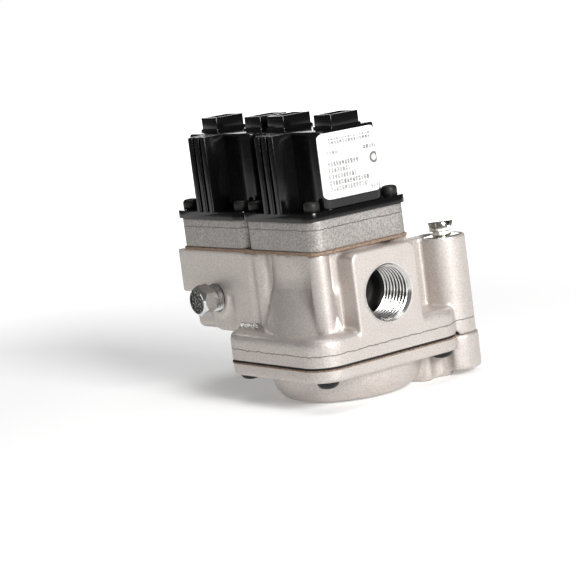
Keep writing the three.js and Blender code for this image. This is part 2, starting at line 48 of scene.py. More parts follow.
# ---- camera -------------------------------------------------------------------------
# Stands off to the front right and a little above, slightly rolled, with a long lens that
# keeps the upright edges of the valve almost parallel.
bpy.ops.object.select_all(action="DESELECT")
bpy.ops.object.camera_add(location=(0.7200, -0.5224, 0.1743),
                          rotation=[math.radians(turn) for turn in (81.322, 7.435, 53.604)])
camera = bpy.context.object
camera.data.sensor_width = 36
camera.data.lens = 141.2
camera.data.clip_end = 50
bpy.context.scene.camera = camera


# ---- floor and light ------------------------------------------------------------------
# A white paper sweep that glows more the further it is from the valve, and three soft lamps: a
# bright one on the port side, one over the top and a weak one behind that edges the black parts.
bpy.ops.mesh.primitive_circle_add(radius=8, vertices=64, fill_type="NGON", location=(0, 0, -0.0001))
floor = bpy.context.object
floor.name = "floor"


def linear(code):
    """The linear colour of an sRGB hex code."""
    shares = [int(code[place:place + 2], 16) / 255 for place in (0, 2, 4)]
    return [share / 12.92 if share < 0.04045 else ((share + 0.055) / 1.055) ** 2.4
            for share in shares] + [1]


def new_material(name):
    """An empty node material with only its output."""
    material = bpy.data.materials.new(name)
    material.use_nodes = True
    material.node_tree.nodes.clear()
    return material


def add(material, kind, inputs, **settings):
    """Adds a node. Inputs are given by name or number, as a value or another node's socket,
    and settings are the node's own properties."""
    made = material.node_tree.nodes.new("ShaderNode" + kind)
    for name, value in settings.items():
        setattr(made, name, value)
    for name, value in inputs.items():
        if isinstance(value, bpy.types.NodeSocket):
            material.node_tree.links.new(value, made.inputs[name])
        else:
            made.inputs[name].default_value = value
    return made


paper = new_material("white_paper_sweep")
place = add(paper, "TexCoord", {}).outputs["Object"]
away = add(paper, "VectorMath", {0: place}, operation="LENGTH")
glow = add(paper, "MapRange", {"Value": away.outputs["Value"], "From Min": 0.12, "From Max": 0.7,
                               "To Min": 0.2, "To Max": 0.95}, interpolation_type="SMOOTHSTEP")
shader = add(paper, "BsdfPrincipled", {"Base Color": linear("F2F2F2"), "Roughness": 1,
                                       "Specular IOR Level": 0,
                                       "Emission Color": linear("FFFFFF"),
                                       "Emission Strength": glow.outputs[0]})
add(paper, "OutputMaterial", {"Surface": shader.outputs[0]})
floor.data.materials.append(paper)

world = bpy.data.worlds.new("white_room")
bpy.context.scene.world = world
world.use_nodes = True
world.node_tree.nodes.clear()
seen = add(world, "LightPath", {})
room = add(world, "Background", {"Color": (1, 1, 1, 1), "Strength": 0.14})
sky = add(world, "Background", {"Color": (1, 1, 1, 1), "Strength": 1})
either = add(world, "MixShader", {0: seen.outputs["Is Camera Ray"], 1: room.outputs[0],
                                  2: sky.outputs[0]})
add(world, "OutputWorld", {"Surface": either.outputs[0]})

valve_middle = Vector((0, 0, 0.055))
for name, place, size, power in (("port_side_lamp", (1.3, -0.15, 0.6), 0.5, 23),
                                 ("top_lamp", (0.1, 0.05, 1.3), 0.8, 6),
                                 ("back_lamp", (-1.2, 0.88, 0.34), 0.6, 2.4)):
    bpy.ops.object.light_add(type="AREA", location=place)
    lamp = bpy.context.object
    lamp.name = name
    lamp.data.shape = "SQUARE"
    lamp.data.size = size
    lamp.data.energy = power
    lamp.visible_camera = False
    lamp.rotation_euler = (valve_middle - Vector(place)).to_track_quat("-Z", "Y").to_euler()
bpy.context.scene.view_settings.view_transform = "Standard"


# ---- valve body -----------------------------------------------------------------------
# Pressure die-casting in aluminium, shot-blasted: every edge and inside corner is softly
# rounded and the skin is fine and sandy. Its two pipe ports are bored and tapped afterwards.
cast_aluminium = new_material("die_cast_aluminium_shot_blasted")


def dress(material, colour, dark, rough, grain, depth, parting):
    """Gives a cast metal its sandy skin and the wavering line where its die parted, with painted
    shade darkening that line under its small step. The grit's size grain and the line's height
    parting are in millimetres, and depth is the relief's."""
    place = add(material, "TexCoord", {}).outputs["Object"]
    grit = add(material, "TexNoise", {"Vector": place, "Scale": 1 / (grain * MM), "Detail": 3,
                                      "Roughness": 0.6})
    flow = add(material, "TexNoise", {"Vector": place, "Scale": 1 / (11 * MM), "Detail": 4,
                                      "Roughness": 0.55, "Distortion": 0.6})
    # Painted shade: small dark spots scattered over the skin, standing for the shade inside its
    # pits.
    pits = add(material, "TexVoronoi", {"Vector": place, "Scale": 1 / (2.4 * MM),
                                        "Randomness": 1})
    spots = add(material, "MapRange", {"Value": pits.outputs["Distance"], "From Min": 0.05,
                                       "From Max": 0.13, "To Min": 0.45, "To Max": 0})
    shade = add(material, "ValToRGB", {"Fac": grit.outputs["Fac"]})
    shade.color_ramp.elements[0].position = 0.3
    shade.color_ramp.elements[0].color = linear(dark)
    shade.color_ramp.elements[1].position = 0.66
    shade.color_ramp.elements[1].color = linear(colour)
    stain = add(material, "MapRange", {"Value": flow.outputs["Fac"], "From Min": 0.35,
                                       "From Max": 0.7, "To Min": 0.22, "To Max": 0})
    stained = add(material, "Mix", {0: stain.outputs[0], 6: shade.outputs[0],
                                    7: linear(dark)}, data_type="RGBA")
    pitted = add(material, "Mix", {0: spots.outputs[0], 6: stained.outputs[2],
                                   7: linear("6E6A66")}, data_type="RGBA")
    height = add(material, "SeparateXYZ", {0: place})
    waver = add(material, "TexNoise", {"Vector": place, "Scale": 1 / (3 * MM), "Detail": 3})
    level = add(material, "Math", {0: waver.outputs["Fac"], 1: 1.4 * MM, 2: height.outputs[2]},
                operation="MULTIPLY_ADD")
    rise = add(material, "Math", {0: level.outputs[0], 1: (parting + 0.7) * MM},
               operation="SUBTRACT")
    off = add(material, "Math", {0: rise.outputs[0]}, operation="ABSOLUTE")
    # Painted shade: the line along the parting is darkened, standing for the shade under its small
    # step.
    line = add(material, "MapRange", {"Value": off.outputs[0], "From Min": 0.1 * MM,
                                      "From Max": 0.32 * MM, "To Min": 0.75, "To Max": 0})
    parted = add(material, "Mix", {0: line.outputs[0], 6: pitted.outputs[2],
                                   7: linear("5C5752")}, data_type="RGBA")
    ledge = add(material, "MapRange", {"Value": rise.outputs[0], "From Min": -0.15 * MM,
                                       "From Max": 0.15 * MM, "To Min": 0, "To Max": 1})
    sheen = add(material, "MapRange", {"Value": grit.outputs["Fac"], "To Min": rough - 0.1,
                                       "To Max": rough + 0.14})
    coarse = add(material, "Bump", {"Height": flow.outputs["Fac"], "Strength": 0.25,
                                    "Distance": 0.4 * MM})
    fine = add(material, "Bump", {"Height": grit.outputs["Fac"], "Strength": depth,
                                  "Distance": 0.12 * MM, "Normal": coarse.outputs[0]})
    stepped = add(material, "Bump", {"Height": ledge.outputs[0], "Strength": 0.7,
                                     "Distance": 0.2 * MM, "Normal": fine.outputs[0]})
    skin = add(material, "BsdfPrincipled", {"Base Color": parted.outputs[2], "Metallic": 0.62,
                                            "Roughness": sheen.outputs[0],
                                            "Normal": stepped.outputs[0]})
    add(material, "OutputMaterial", {"Surface": skin.outputs[0]})


# The flange's parting line at this height is painted darker, as shade under its step.
flange_parting = 22
dress(cast_aluminium, "D4CDC8", "AFA7A1", 0.46, 0.5, 0.45, flange_parting)


def only(*pieces):
    """Selects these pieces and nothing else, with the first one active."""
    if bpy.context.mode != "OBJECT":
        bpy.ops.object.mode_set(mode="OBJECT")
    bpy.ops.object.select_all(action="DESELECT")
    for piece in pieces:
        piece.select_set(True)
    bpy.context.view_layer.objects.active = pieces[0]


def finish(piece, material, angle=40):
    """Gives a piece its material and smooth shading up to an edge angle in degrees."""
    piece.data.materials.clear()
    piece.data.materials.append(material)
    only(piece)
    bpy.ops.object.shade_smooth_by_angle(angle=math.radians(angle))


def modify(piece, kind, **settings):
    """Puts a modifier on a piece and applies it."""
    only(piece)
    change = piece.modifiers.new(kind, kind)
    for name, value in settings.items():
        setattr(change, name, value)
    bpy.ops.object.modifier_apply(modifier=change.name)


def combine(piece, tool, operation="UNION"):
    """Joins a tool to a piece or cuts it away, and throws the tool away."""
    modify(piece, "BOOLEAN", object=tool, operation=operation, solver="MANIFOLD")
    bpy.data.objects.remove(tool)


def pattern_from(node, name):
    """A merged copy of a CAD node's shape, to be worked on as a new piece."""
    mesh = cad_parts[node].data.copy()
    piece = bpy.data.objects.new(name, mesh)
    bpy.context.scene.collection.objects.link(piece)
    only(piece)
    bpy.ops.object.mode_set(mode="EDIT")
    bpy.ops.mesh.select_all(action="SELECT")
    bpy.ops.mesh.remove_doubles(threshold=0.002 * MM)
    bpy.ops.object.mode_set(mode="OBJECT")
    return piece


def cast(piece, grain, passes):
    """Rounds every edge and inside corner of a shape, as a casting's are."""
    modify(piece, "REMESH", mode="VOXEL", voxel_size=grain * MM)
    modify(piece, "SMOOTH", factor=0.5, iterations=passes)


def cylinder(name, radius, length, centre, turn=(0, 0, 0), vertices=96):
    """A round bar whose place and turn are worked into its mesh."""
    bpy.ops.object.select_all(action="DESELECT")
    bpy.ops.mesh.primitive_cylinder_add(radius=radius * MM, depth=length * MM,
                                        vertices=vertices, location=[c * MM for c in centre],
                                        rotation=[math.radians(t) for t in turn])
    piece = bpy.context.object
    piece.name = name
    bpy.ops.object.transform_apply(location=True, rotation=True, scale=True)
    return piece


def edges_where(piece, test):
    """In edit mode, selects the edges whose two ends pass a test, given in millimetres."""
    only(piece)
    bpy.ops.object.mode_set(mode="EDIT")
    bpy.ops.mesh.select_mode(type="EDGE")
    bpy.ops.mesh.select_all(action="DESELECT")
    shape = bmesh.from_edit_mesh(piece.data)
    for line in shape.edges:
        line.select_set(test([end.co / MM for end in line.verts]))
    bmesh.update_edit_mesh(piece.data)


def slab(name, low, high, corner=0, corner_steps=10, edge=0.0, edge_steps=3, foot_edge=0.0):
    """A block between two corners, its upright edges rounded, then its top and foot rims."""
    centre = [(a + b) / 2 * MM for a, b in zip(low, high)]
    size = [(b - a) * MM for a, b in zip(low, high)]
    bpy.ops.object.select_all(action="DESELECT")
    bpy.ops.mesh.primitive_cube_add(size=1, location=centre, scale=size)
    piece = bpy.context.object
    piece.name = name
    bpy.ops.object.transform_apply(location=True, rotation=True, scale=True)
    if corner:
        edges_where(piece, lambda ends: abs(ends[0].x - ends[1].x) < 0.01
                    and abs(ends[0].y - ends[1].y) < 0.01)
        bpy.ops.mesh.bevel(offset=corner * MM, segments=corner_steps, affect="EDGES")
    for rim, width in ((high[2], edge), (low[2], foot_edge)):
        if width:
            edges_where(piece, lambda ends: all(abs(end.z - rim) < 0.01 for end in ends))
            bpy.ops.mesh.bevel(offset=width * MM, segments=edge_steps, affect="EDGES")
    bpy.ops.object.mode_set(mode="OBJECT")
    return piece


def box_of(node):
    """The low and high corners of a CAD node's box, in millimetres."""
    return [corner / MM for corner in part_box(node)]


# Painted shade: a near-black material for the bore behind the tapped threads, standing for the shade
# deep in the passage.
passage = new_material("die_cast_aluminium_painted_passage_shade")
place = add(passage, "TexCoord", {}).outputs["Object"]
runs = add(passage, "TexNoise", {"Vector": place, "Scale": 1 / (2 * MM), "Detail": 4})
tone = add(passage, "Mix", {0: runs.outputs["Fac"], 6: linear("0B0A09"), 7: linear("1B1917")},
           data_type="RGBA")
shader = add(passage, "BsdfPrincipled", {"Base Color": tone.outputs[2], "Roughness": 0.7})
add(passage, "OutputMaterial", {"Surface": shader.outputs[0]})

port_y, port_z = -5.9, 40.3
tapped_depth = 15.4
sleeve_radius = 11.5
recess_low, recess_high = (45.5, -25.1, 28.8), (60.5, -21.4, 57.8)
body_grain, body_passes = 0.66, 3
body_low, body_high = box_of("valve_body")
body = pattern_from("valve_body", "valve_body_casting")
# a recess runs down between the outlet boss and the front screw column
combine(body, slab("recess", recess_low, recess_high), "DIFFERENCE")
cast(body, body_grain, body_passes)
for face, side in ((body_high.x, 1), (body_low.x, -1)):
    counterbore = cylinder("counterbore", sleeve_radius, 2 * tapped_depth, (face, port_y, port_z),
                           (0, 90, 0))
    combine(body, counterbore, "DIFFERENCE")
finish(body, cast_aluminium, 50)
# The bore's faces behind the threads take the near-black painted shade.
body.data.materials.append(passage)
for face in body.data.polygons:
    x, y, z = face.center / MM
    from_axis = math.hypot(y - port_y, z - port_z)
    behind_threads = body_low.x + tapped_depth - 1 < x < body_high.x - tapped_depth + 1
    if behind_threads and (from_axis < sleeve_radius or abs(x) < 34
                           and from_axis < sleeve_radius + 0.8):
        face.material_index = 1
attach(body, "valve")
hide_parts("valve_body")


# ---- pipe threads ---------------------------------------------------------------------
# The tapped ends of the two ports, 14 turns to the inch, cut bright and left as machined.
# Each starts in a chamfer that is flush with the face of the boss.
machined = new_material("machined_aluminium")
place = add(machined, "TexCoord", {}).outputs["Object"]
marks = add(machined, "TexWave", {"Vector": place, "Scale": 0.5 / (0.35 * MM), "Distortion": 1.5,
                                  "Detail": 2}, bands_direction="X")
lines = add(machined, "Bump", {"Height": marks.outputs["Fac"], "Strength": 0.25,
                               "Distance": 0.03 * MM})
shine = add(machined, "MapRange", {"Value": marks.outputs["Fac"], "To Min": 0.16, "To Max": 0.3})
shader = add(machined, "BsdfPrincipled", {"Base Color": linear("C9C7C4"), "Metallic": 1,
                                          "Roughness": shine.outputs[0],
                                          "Normal": lines.outputs[0]})
add(machined, "OutputMaterial", {"Surface": shader.outputs[0]})


def turned(name, outline, centre, turn=(0, 0, 0), steps=72):
    """A piece turned on a lathe: its outline of (radius, height) points is extruded point by
    point and spun round. An outline that starts and ends off the axis is closed on itself."""
    bpy.ops.object.select_all(action="DESELECT")
    bpy.ops.mesh.primitive_plane_add(size=1 * MM)
    piece = bpy.context.object
    piece.name = name
    bpy.ops.object.mode_set(mode="EDIT")
    bpy.ops.mesh.select_mode(type="VERT")
    bpy.ops.mesh.select_all(action="SELECT")
    bpy.ops.mesh.merge(type="CENTER")
    start = Vector((outline[0][0], 0, outline[0][1])) * MM
    bpy.ops.transform.translate(value=start)
    points = outline[1:] + ([outline[0]] if outline[0][0] > 0 else [])
    for radius, height in points:
        here = Vector((radius, 0, height)) * MM
        bpy.ops.mesh.extrude_region_move(TRANSFORM_OT_translate={"value": here - start})
        start = here
    bpy.ops.mesh.select_all(action="SELECT")
    bpy.ops.mesh.spin(steps=steps, angle=2 * math.pi, center=(0, 0, 0), axis=(0, 0, 1))
    bpy.ops.mesh.select_all(action="SELECT")
    bpy.ops.mesh.remove_doubles(threshold=0.004 * MM)
    bpy.ops.mesh.normals_make_consistent(inside=False)
    bpy.ops.object.mode_set(mode="OBJECT")
    piece.rotation_euler = [math.radians(t) for t in turn]
    piece.location = Vector(centre) * MM
    only(piece)
    bpy.ops.object.transform_apply(location=True, rotation=True, scale=True)
    return piece


def thread_coil(name, radius, tip, pitch, turns, start, centre, turn):
    """A three-sided strip wound along a screw thread, its point on the tip radius."""
    bpy.ops.object.select_all(action="DESELECT")
    bpy.ops.mesh.primitive_circle_add(vertices=3, radius=pitch / math.sqrt(3) * 0.96 * MM,
                                      rotation=(math.pi / 2, 0, 0))
    coil = bpy.context.object
    coil.name = name
    bpy.ops.object.transform_apply(rotation=True)
    bpy.ops.object.mode_set(mode="EDIT")
    shape = bmesh.from_edit_mesh(coil.data)
    base = (radius, start - 0.47 * pitch), (tip, start), (radius, start + 0.47 * pitch)
    for corner, (across, up) in zip(shape.verts, base):
        corner.co = Vector((across, 0, up)) * MM
    bmesh.update_edit_mesh(coil.data)
    bpy.ops.object.mode_set(mode="OBJECT")
    modify(coil, "SCREW", angle=2 * math.pi, screw_offset=pitch * MM, iterations=turns, steps=64,
           render_steps=64, use_merge_vertices=False)
    only(coil)
    bpy.ops.object.mode_set(mode="EDIT")
    bpy.ops.mesh.select_all(action="SELECT")
    bpy.ops.mesh.remove_doubles(threshold=0.001 * MM)
    bpy.ops.mesh.fill_holes(sides=3)
    bpy.ops.mesh.select_all(action="SELECT")
    bpy.ops.mesh.normals_make_consistent(inside=False)
    bpy.ops.object.mode_set(mode="OBJECT")
    coil.rotation_euler = [math.radians(t) for t in turn]
    coil.location = Vector(centre) * MM
    bpy.ops.object.transform_apply(location=True, rotation=True, scale=True)
    return coil


pitch = 25.4 / 14
crest, root, mouth = 9.55, 10.75, 11.1
for name, face, side in (("outlet_thread", body_high.x, 1), ("inlet_thread", body_low.x, -1)):
    place, quarter = (face, port_y, port_z), (0, 90 * side, 0)
    wall = sleeve_radius - 0.03
    sleeve = turned(name, [(wall, 0), (mouth, 0), (crest + 0.35, -0.95 - (mouth - root)),
                           (crest, -tapped_depth + 0.1), (wall, -tapped_depth + 0.1)], place,
                    quarter, 96)
    coil = thread_coil("coil", crest - 0.25, root, pitch, 9, -tapped_depth - 0.8, place, quarter)
    combine(sleeve, coil, "DIFFERENCE")
    finish(sleeve, machined, 28)
    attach(sleeve, "valve")


# ---- casting flash ----------------------------------------------------------------------
# A ragged fin of metal at the foot of the left front block, where the gate was broken off. It
# is bright, because it was torn after the blasting.
torn = new_material("torn_aluminium")
place = add(torn, "TexCoord", {}).outputs["Object"]
tears = add(torn, "TexNoise", {"Vector": place, "Scale": 1 / (0.8 * MM), "Detail": 3})
relief = add(torn, "Bump", {"Height": tears.outputs["Fac"], "Strength": 0.9,
                            "Distance": 0.3 * MM})
shader = add(torn, "BsdfPrincipled", {"Base Color": linear("E6E3E0"), "Metallic": 1,
                                      "Roughness": 0.25, "Normal": relief.outputs[0]})
add(torn, "OutputMaterial", {"Surface": shader.outputs[0]})
flash = slab("casting_flash", (-6.5, -33.5, 28.8), (4.5, -31.9, 30.6))
bpy.ops.object.mode_set(mode="EDIT")
bpy.ops.mesh.select_all(action="SELECT")
bpy.ops.mesh.subdivide(number_cuts=14)
bpy.ops.transform.vertex_random(offset=0.5 * MM, seed=4)
bpy.ops.object.mode_set(mode="OBJECT")
modify(flash, "REMESH", mode="VOXEL", voxel_size=0.18 * MM)
finish(flash, torn, 60)
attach(flash, "valve")


# ---- lower cover ------------------------------------------------------------------------
# The same casting as the body: a flange with a shallow dish under it and a foot that carries
# the regulator tower. Four screws hold it to the body with the diaphragm clamped between.
cover_grain, cover_passes = 0.72, 6
lower_cover = pattern_from("lower_cover", "lower_cover_casting")
cast(lower_cover, cover_grain, cover_passes)
finish(lower_cover, cast_aluminium, 60)
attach(lower_cover, "valve")
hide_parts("lower_cover")

screw_black = new_material("black_zinc_plated_steel")
place = add(screw_black, "TexCoord", {}).outputs["Object"]
mottle = add(screw_black, "TexNoise", {"Vector": place, "Scale": 1 / (0.9 * MM), "Detail": 4})
tone = add(screw_black, "Mix", {0: mottle.outputs["Fac"], 6: linear("131313"),
                                7: linear("302F2E")}, data_type="RGBA")
rough = add(screw_black, "MapRange", {"Value": mottle.outputs["Fac"], "To Min": 0.32,
                                      "To Max": 0.6})
relief = add(screw_black, "Bump", {"Height": mottle.outputs["Fac"], "Strength": 0.3,
                                   "Distance": 0.05 * MM})
shader = add(screw_black, "BsdfPrincipled", {"Base Color": tone.outputs[2], "Metallic": 0.55,
                                             "Roughness": rough.outputs[0],
                                             "Normal": relief.outputs[0]})
add(screw_black, "OutputMaterial", {"Surface": shader.outputs[0]})


# Cover screws: thread-forming, with a domed head and a slot, driven up from below.
for number in range(1, 5):
    node = f"cover_screw_{number}"
    low, high = box_of(node)
    x, y = (low.x + high.x) / 2, (low.y + high.y) / 2
    head, shank, under = (high.x - low.x) / 2, 2.1, low.z + 3
    screw = turned(node + "_turned", [(0, low.z), (1.3, low.z + 0.08), (2.6, low.z + 0.42),
                                      (3.6, low.z + 1.05), (head - 0.12, low.z + 1.9),
                                      (head, low.z + 2.5), (head, under), (shank, under),
                                      (shank, high.z - 0.4), (shank - 0.4, high.z),
                                      (0, high.z)], (x, y, 0), steps=40)
    slot_tool = slab("slot_tool", (x - 0.55, y - 4.5, low.z - 1.1), (x + 0.55, y + 4.5, low.z + 1.1))
    combine(screw, slot_tool, "DIFFERENCE")
    finish(screw, screw_black)
    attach(screw, "valve")
    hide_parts(node)


# ---- gaskets and diaphragm -----------------------------------------------------------------
# Brown compressed-fibre sheet, die-cut, with furry edges; the diaphragm is black rubber.
fibre = new_material("compressed_fibre_sheet")
place = add(fibre, "TexCoord", {}).outputs["Object"]
strands = add(fibre, "TexNoise", {"Vector": place, "Scale": 1 / (0.8 * MM), "Detail": 5,
                                  "Roughness": 0.75})
layers = add(fibre, "TexWave", {"Vector": place, "Scale": 0.5 / (0.55 * MM), "Distortion": 3,
                                "Detail": 3}, bands_direction="Z")
tone = add(fibre, "ValToRGB", {"Fac": strands.outputs["Fac"]})
tone.color_ramp.elements[0].position = 0.32
tone.color_ramp.elements[0].color = linear("54423A")
tone.color_ramp.elements[1].position = 0.68
tone.color_ramp.elements[1].color = linear("A8927F")
banded = add(fibre, "Mix", {0: 0.45, 6: tone.outputs[0], 7: layers.outputs["Color"]},
             data_type="RGBA", blend_type="OVERLAY")
fuzz = add(fibre, "Bump", {"Height": strands.outputs["Fac"], "Strength": 0.8,
                           "Distance": 0.15 * MM})
shader = add(fibre, "BsdfPrincipled", {"Base Color": banded.outputs[2], "Roughness": 0.9,
                                       "Specular IOR Level": 0.2, "Normal": fuzz.outputs[0]})
add(fibre, "OutputMaterial", {"Surface": shader.outputs[0]})

rubber = new_material("nitrile_rubber")
place = add(rubber, "TexCoord", {}).outputs["Object"]
bloom = add(rubber, "TexNoise", {"Vector": place, "Scale": 1 / (3 * MM), "Detail": 4})
tone = add(rubber, "Mix", {0: bloom.outputs["Fac"], 6: linear("141313"), 7: linear("2B2826")},
           data_type="RGBA")
relief = add(rubber, "Bump", {"Height": bloom.outputs["Fac"], "Strength": 0.2,
                              "Distance": 0.1 * MM})
shader = add(rubber, "BsdfPrincipled", {"Base Color": tone.outputs[2], "Roughness": 0.72,
                                        "Specular IOR Level": 0.35,
                                        "Normal": relief.outputs[0]})
add(rubber, "OutputMaterial", {"Surface": shader.outputs[0]})


# The joint faces are milled flat after casting, which leaves the castings' rims sharp there.
flange_corner, screw_inset = 10.5, 7.6
body_face, cover_face = 17.7, box_of("lower_cover")[1].z
rim_low, rim_high = box_of("cover_gasket")
rim_low += Vector((0.2, 0.2, 0))
rim_high -= Vector((0.2, 0.2, 0))
rim_middle = (rim_low + rim_high) / 2
cover_screw_places = [(x, y) for x in (rim_low.x + screw_inset, rim_high.x - screw_inset)
                      for y in (rim_low.y + screw_inset, rim_high.y - screw_inset)]
for casting, foot, top, radius in ((body, body_face, body_face + 2, 25.4),
                                   (lower_cover, cover_face - 1.6, cover_face, 27.2)):
    milled = slab("milled", (rim_low.x, rim_low.y, foot), (rim_high.x, rim_high.y, top),
                  flange_corner, 12)
    opening = cylinder("opening", radius, 8, (rim_middle.x, rim_middle.y, top))
    combine(milled, opening, "DIFFERENCE")
    for x, y in cover_screw_places:
        combine(milled, cylinder("drilling", 2.4, 8, (x, y, top), vertices=24), "DIFFERENCE")
    combine(casting, milled)


coil_middles = []
for side in ("left", "right"):
    low, high = box_of(f"{side}_coil_housing")
    coil_middles.append((low + high) / 2)
screw_across, screw_along = 17.9, 18.7
coil_screw_places = [(middle.x + i * screw_across, middle.y + j * screw_along)
                     for middle in coil_middles for i in (-1, 1) for j in (-1, 1)]
for node, corner, edge, punches in (
        ("riser_gasket", 5, 0.15, [(middle.x, middle.y, 4.4) for middle in coil_middles]
         + [(x, y, 2.2) for x, y in coil_screw_places]),
        ("cover_gasket", flange_corner, 0.1, [(rim_middle.x, rim_middle.y, 26)]
         + [(x, y, 2.4) for x, y in cover_screw_places])):
    low, high = box_of(node)
    gasket = slab(node + "_sheet", low, high, corner, 12, edge, 2, edge)
    for x, y, radius in punches:
        vertices = 96 if radius > 20 else 32
        combine(gasket, cylinder("punch", radius, 6, (x, y, low.z), vertices=vertices), "DIFFERENCE")
    finish(gasket, fibre)
    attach(gasket, "valve")
    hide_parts(node)


def surface(nodes, material):
    """Gives CAD pieces that keep their shape their material."""
    for node in nodes:
        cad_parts[node].data.materials.clear()
        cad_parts[node].data.materials.append(material)


surface(["main_diaphragm", "main_valve_disc", "left_valve_disc", "right_valve_disc", "cap_seal"],
        rubber)


# ---- riser blocks -----------------------------------------------------------------------
# Two smaller die-castings, tumbled to a cooler, more speckled grey. A wandering parting line
# runs round each of them under the coil, where the two halves of its die met.
riser_aluminium = new_material("die_cast_aluminium_tumbled")
block_parting = box_of("left_riser_block")[1].z - 3.4
dress(riser_aluminium, "B4B0AC", "7E7A75", 0.5, 0.7, 0.6, block_parting)
block_grain, block_passes = 0.42, 3
for node in ("left_riser_block", "right_riser_block"):
    block = pattern_from(node, node + "_casting")
    cast(block, block_grain, block_passes)
    finish(block, riser_aluminium, 60)
    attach(block, "valve")
    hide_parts(node)


# ---- coil housings -------------------------------------------------------------------------
# Moulded in glossy black nylon: a base plate, a shell with three ribs front and centre, and
# two open shrouds on top, each round a spade terminal.
nylon = new_material("black_nylon_moulded_glossy")
place = add(nylon, "TexCoord", {}).outputs["Object"]
orange_peel = add(nylon, "TexNoise", {"Vector": place, "Scale": 1 / (5 * MM), "Detail": 2})
scuffs = add(nylon, "TexNoise", {"Vector": place, "Scale": 1 / (1.2 * MM), "Detail": 6,
                                 "Roughness": 0.7, "Distortion": 0.4})
wear = add(nylon, "MapRange", {"Value": scuffs.outputs["Fac"], "From Min": 0.55,
                               "From Max": 0.8, "To Min": 0.16, "To Max": 0.4})
peel = add(nylon, "Bump", {"Height": orange_peel.outputs["Fac"], "Strength": 0.12,
                           "Distance": 0.25 * MM})
shader = add(nylon, "BsdfPrincipled", {"Base Color": linear("080808"), "Roughness":
                                       wear.outputs[0], "Specular IOR Level": 0.32,
                                       "Normal": peel.outputs[0]})
add(nylon, "OutputMaterial", {"Surface": shader.outputs[0]})

plate_height, plate_corner = 3.1, 5
rib_width, rib_gap, rib_depth = 11.5, 1.5, 1.4
third = (rib_width - 2 * rib_gap) / 3
shell_width, shell_depth, shell_corner, shell_wall = 42, 29.5, 4.5, 2.5
shroud_offset, shroud_width, shroud_depth, shroud_wall, shroud_height = 15.1, 10.6, 13.4, 1.3, 5.4
blade_slot_width, blade_slot_depth = 1.4, 6.96
for node in ("left_coil_housing", "right_coil_housing"):
    low, high = box_of(node)
    x, y = (low.x + high.x) / 2, (low.y + high.y) / 2
    foot, shell_top = low.z, high.z - shroud_height
    housing = slab(node + "_moulding", (low.x, low.y, foot), (high.x, high.y, foot + plate_height),
                   plate_corner, 8, 0.35, 2)
    shell = slab("shell", (x - shell_width / 2, y - shell_depth / 2, foot + 0.5),
                 (x + shell_width / 2, y + shell_depth / 2, shell_top), shell_corner, 10, 1, 4)
    combine(housing, shell)
    for place in (-1, 0, 1):
        middle_x = x + place * (third + rib_gap)
        rib = slab("rib", (middle_x - third / 2, low.y, foot + 0.003),
                   (middle_x + third / 2, y - 8, shell_top - 0.004), 0.7, 4, 0.7, 3)
        combine(housing, rib)
    web = slab("web", (x - rib_width / 2 + 0.5, low.y + rib_depth, foot + 0.006),
               (x + rib_width / 2 - 0.5, y - 8, shell_top - 0.4), 0, 1, 0.4, 2)
    combine(housing, web)
    w, d = shell_width / 2 - shell_wall, shell_depth / 2 - shell_wall
    hollow = slab("hollow", (x - w, y - d, foot - 1), (x + w, y + d, shell_top - shell_wall), 2, 4)
    combine(housing, hollow, "DIFFERENCE")
    for end in (-1, 1):
        middle_x = x + end * shroud_offset
        w, d = shroud_width / 2, shroud_depth / 2
        skirt = slab("skirt", (middle_x - w - 0.5, y - d - 0.5, shell_top - 0.6),
                     (middle_x + w + 0.5, y + d + 0.5, shell_top + 1), 0.5, 3, 0.35, 2)
        combine(housing, skirt)
        shroud = slab("shroud", (middle_x - w, y - d, shell_top - 0.5),
                      (middle_x + w, y + d, high.z), 0.45, 3, 0.2, 2)
        combine(housing, shroud)
        well = slab("well", (middle_x - w + shroud_wall, y - d + shroud_wall, shell_top + 0.6),
                    (middle_x + w - shroud_wall, y + d - shroud_wall, high.z + 2), 0.4, 2)
        combine(housing, well, "DIFFERENCE")
        w, d = blade_slot_width / 2, blade_slot_depth / 2
        blade_slot = slab("blade_slot", (middle_x - w, y - d, shell_top - 4),
                          (middle_x + w, y + d, shell_top + 3))
        combine(housing, blade_slot, "DIFFERENCE")
    for i in (-1, 1):
        for j in (-1, 1):
            hole = cylinder("hole", 2.2, 12, (x + i * screw_across, y + j * screw_along, foot),
                            vertices=24)
            combine(housing, hole, "DIFFERENCE")
    finish(housing, nylon, 35)
    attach(housing, "valve")
    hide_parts(node)


# ---- coil screws ------------------------------------------------------------------------
# Dark plated machine screws with a domed cheese head and a hexagon socket, one in each corner
# of a base plate. They reach down through the riser block into the body.
for side in ("left", "right"):
    for number in range(1, 5):
        node = f"{side}_coil_screw_{number}"
        low, high = box_of(node)
        x, y, top = (low.x + high.x) / 2, (low.y + high.y) / 2, high.z
        head, shank, seat = (high.x - low.x) / 2, 1.9, high.z - 3.8
        screw = turned(node + "_turned", [(0, low.z), (shank - 0.4, low.z),
                                          (shank, low.z + 0.4), (shank, seat), (head - 0.1, seat),
                                          (head, seat + 0.15), (head, top - 1.3),
                                          (head - 0.12, top - 0.85), (head - 0.42, top - 0.4),
                                          (head - 0.85, top - 0.1), (head - 1.35, top),
                                          (0, top)], (x, y, 0), steps=36)
        socket = cylinder("socket", 1.6, 4, (x, y, top), vertices=6)
        combine(screw, socket, "DIFFERENCE")
        finish(screw, screw_black)
        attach(screw, "valve")
        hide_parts(node)


